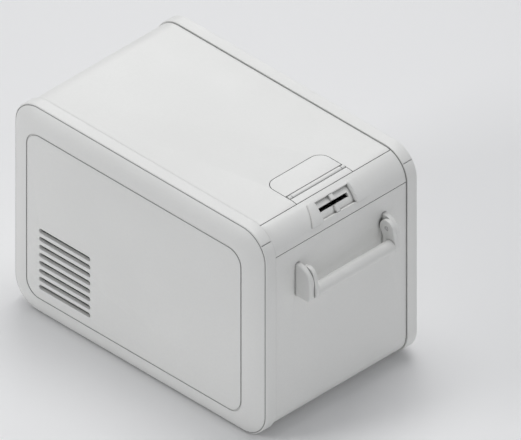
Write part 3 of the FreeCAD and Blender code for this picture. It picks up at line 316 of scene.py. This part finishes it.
# ------------------------------------------------------------------ pieces
SOFTENED = {                 # node: radius of its moulded edges
    "left_cover": 0.45 * MM, "right_cover": 0.45 * MM, "front_panel": 0.3 * MM,
    "rear_panel": 0.3 * MM, "lid": 0.3 * MM, "exit_bezel": 0.25 * MM, "exit_flap": 0.25 * MM,
    "handle_bracket_left": 0.35 * MM, "handle_bracket_right": 0.35 * MM, "bail_handle": 0.35 * MM,
}
BUTTON_SPRINGS = {           # node: joint that presses it
    "power_button_spring": "power_press", "feed_button_spring": "feed_press",
}
BUTTON_WIRE = 0.4 * MM       # radius of the wire
BUTTON_TURNS = 5
HEAD_WIRE = 0.35 * MM
HEAD_TURNS = 6
STEPS_PER_TURN = 28
CLOSED_ENDS = 0.09           # how much closer a spring is wound at its ends
SHARP = math.radians(28)     # edges turned more than this are creases
FLAT = math.radians(0.4)     # edges turned less than this are not needed


def finish_mesh(mesh):
    """Smooth shading with creases at real edges."""
    for polygon in mesh.polygons:
        polygon.use_smooth = True
    mesh.set_sharp_from_angle(angle=SHARP)


def welded(mesh, flat_angle=None):
    """The mesh without doubled points and, given an angle, without edges flatter than it."""
    shape = bmesh.new()
    shape.from_mesh(mesh)
    bmesh.ops.remove_doubles(shape, verts=shape.verts, dist=1e-6)
    if flat_angle is not None:
        bmesh.ops.dissolve_limit(shape, angle_limit=flat_angle, verts=shape.verts, edges=shape.edges)
    shape.to_mesh(mesh)
    shape.free()
    return mesh


def softened_copy(node, radius):
    """Copy of a CAD shell whose sharp edges are really rounded."""
    mesh = welded(NODES[node].data.copy(), FLAT)
    piece = bpy.data.objects.new(node + "_moulding", mesh)
    bpy.context.collection.objects.link(piece)
    bevel = piece.modifiers.new("edges", "BEVEL")
    bevel.width = radius
    bevel.segments = 3
    bevel.limit_method = "ANGLE"
    bevel.angle_limit = SHARP
    bevel.use_clamp_overlap = True
    graph = bpy.context.evaluated_depsgraph_get()
    piece.data = bpy.data.meshes.new_from_object(piece.evaluated_get(graph))
    piece.modifiers.clear()
    finish_mesh(piece.data)
    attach(piece, BODY_OF[node])
    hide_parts(node)
    return piece


def wind(curve, start, end, outer_radius, turns):
    """Add one coil of the curve's wire between two points, closer wound at its ends."""
    wire = curve.bevel_depth
    direction = (end - start).normalized()
    side = direction.orthogonal().normalized()
    other = direction.cross(side)
    steps = STEPS_PER_TURN * turns
    spline = curve.splines.new("POLY")
    spline.points.add(steps)
    for index, point in enumerate(spline.points):
        share = index / steps
        turn = 2 * math.pi * turns * share
        along = share - CLOSED_ENDS * math.sin(2 * math.pi * share)
        rise = wire + ((end - start).length - 2 * wire) * along
        around = (side * math.cos(turn) + other * math.sin(turn)) * (outer_radius - wire)
        point.co = (*(start + direction * rise + around), 1)


def wire_piece(node, wire, coils, turns):
    """Wound springs in place of a spring node, as one mesh; coils are (start, end, outer radius)."""
    curve = bpy.data.curves.new(node + "_wire", "CURVE")
    curve.dimensions = "3D"
    curve.bevel_depth = wire
    curve.bevel_resolution = 3
    curve.use_fill_caps = True
    for start, end, outer_radius in coils:
        wind(curve, start, end, outer_radius, turns)
    path = bpy.data.objects.new(node + "_path", curve)
    mesh = welded(bpy.data.meshes.new_from_object(path))
    piece = bpy.data.objects.new(node + "_coil", mesh)
    bpy.data.objects.remove(path)
    bpy.context.collection.objects.link(piece)
    finish_mesh(piece.data)
    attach(piece, BODY_OF[node])
    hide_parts(node)
    return piece


def make_springs(metal):
    """Return springs of the two buttons, and the pair behind the print head."""
    for node, joint in BUTTON_SPRINGS.items():
        low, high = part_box(node)
        middle = (low + high) / 2
        start = Vector((middle.x, low.y, middle.z))
        end = Vector((middle.x, high.y, middle.z))
        piece = wire_piece(node, BUTTON_WIRE, [(start, end, (high.x - low.x) / 2)], BUTTON_TURNS)
        paint(piece, metal)
        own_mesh(piece)
    low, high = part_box("head_springs")
    radius = (high.z - low.z) / 2
    coils = []
    for y in (low.y + radius, high.y - radius):
        coils.append((Vector((low.x, y, low.z + radius)), Vector((high.x, y, low.z + radius)), radius))
    paint(wire_piece("head_springs", HEAD_WIRE, coils, HEAD_TURNS), metal)


def paint(piece, material):
    """The material in every slot of a piece."""
    if not piece.data.materials:
        piece.data.materials.append(material)
    for index in range(len(piece.data.materials)):
        piece.data.materials[index] = material


def dress_nodes(materials):
    """Softened shells where they are listed, and a material on every node."""
    for node, source in NODES.items():
        piece = softened_copy(node, SOFTENED[node]) if node in SOFTENED else source
        paint(piece, materials[SLOT_OF[node]])
    make_springs(materials["steel_bright"])


# ------------------------------------------------------------------ stage
FLOOR_SIZE = 12
FLOOR_TONES = ((0.90, 0.90, 0.90, 1), (0.92, 0.92, 0.92, 1))
FLOOR_ROUGHNESS = 0.85
LIT_POINT = (0, 0, 0.07)
LIGHTS = {                   # name: place and size in metres, power in watts
    "key": ((-0.55, -1.25, 0.85), 0.5, 5.6),
    "fill": ((1.25, -0.15, 0.45), 0.9, 2.0),
    "top": ((-0.15, 0.25, 1.4), 0.8, 8.6),
    "rear": ((-0.9, 1.0, 0.8), 0.6, 2.2),
}
SKY_COLOUR = (0.93, 0.95, 1.0, 1)
SKY_STRENGTH = 0.27


def make_floor():
    """Pale studio floor."""
    bpy.ops.mesh.primitive_plane_add(size=FLOOR_SIZE)
    floor = bpy.context.object
    floor.name = "floor"
    material, tree, shader = new_tree("studio_floor")
    cloud = noise(tree, position(tree), 3, 2)
    tree.links.new(blend_colour(tree, cloud, *FLOOR_TONES), shader.inputs["Base Color"])
    shader.inputs["Roughness"].default_value = FLOOR_ROUGHNESS
    floor.data.materials.append(material)


def area_light(name, place, target, size, power):
    """Square soft light aimed at a point."""
    light = bpy.data.objects.new(name, bpy.data.lights.new(name, "AREA"))
    bpy.context.collection.objects.link(light)
    light.data.size = size
    light.data.energy = power
    light.location = place
    light.rotation_euler = (Vector(target) - Vector(place)).to_track_quat("-Z", "Y").to_euler()


def make_lights():
    """The four area lights, and a dim even sky."""
    for name, (place, size, power) in LIGHTS.items():
        area_light(name, place, LIT_POINT, size, power)
    world = bpy.data.worlds.new("studio")
    world.use_nodes = True
    sky = world.node_tree.nodes["Background"]
    sky.inputs["Color"].default_value = SKY_COLOUR
    sky.inputs["Strength"].default_value = SKY_STRENGTH
    bpy.context.scene.world = world
    bpy.context.scene.view_settings.view_transform = "Standard"


# ------------------------------------------------------------------ build
make_camera()
make_floor()
make_lights()
dress_nodes(make_materials())
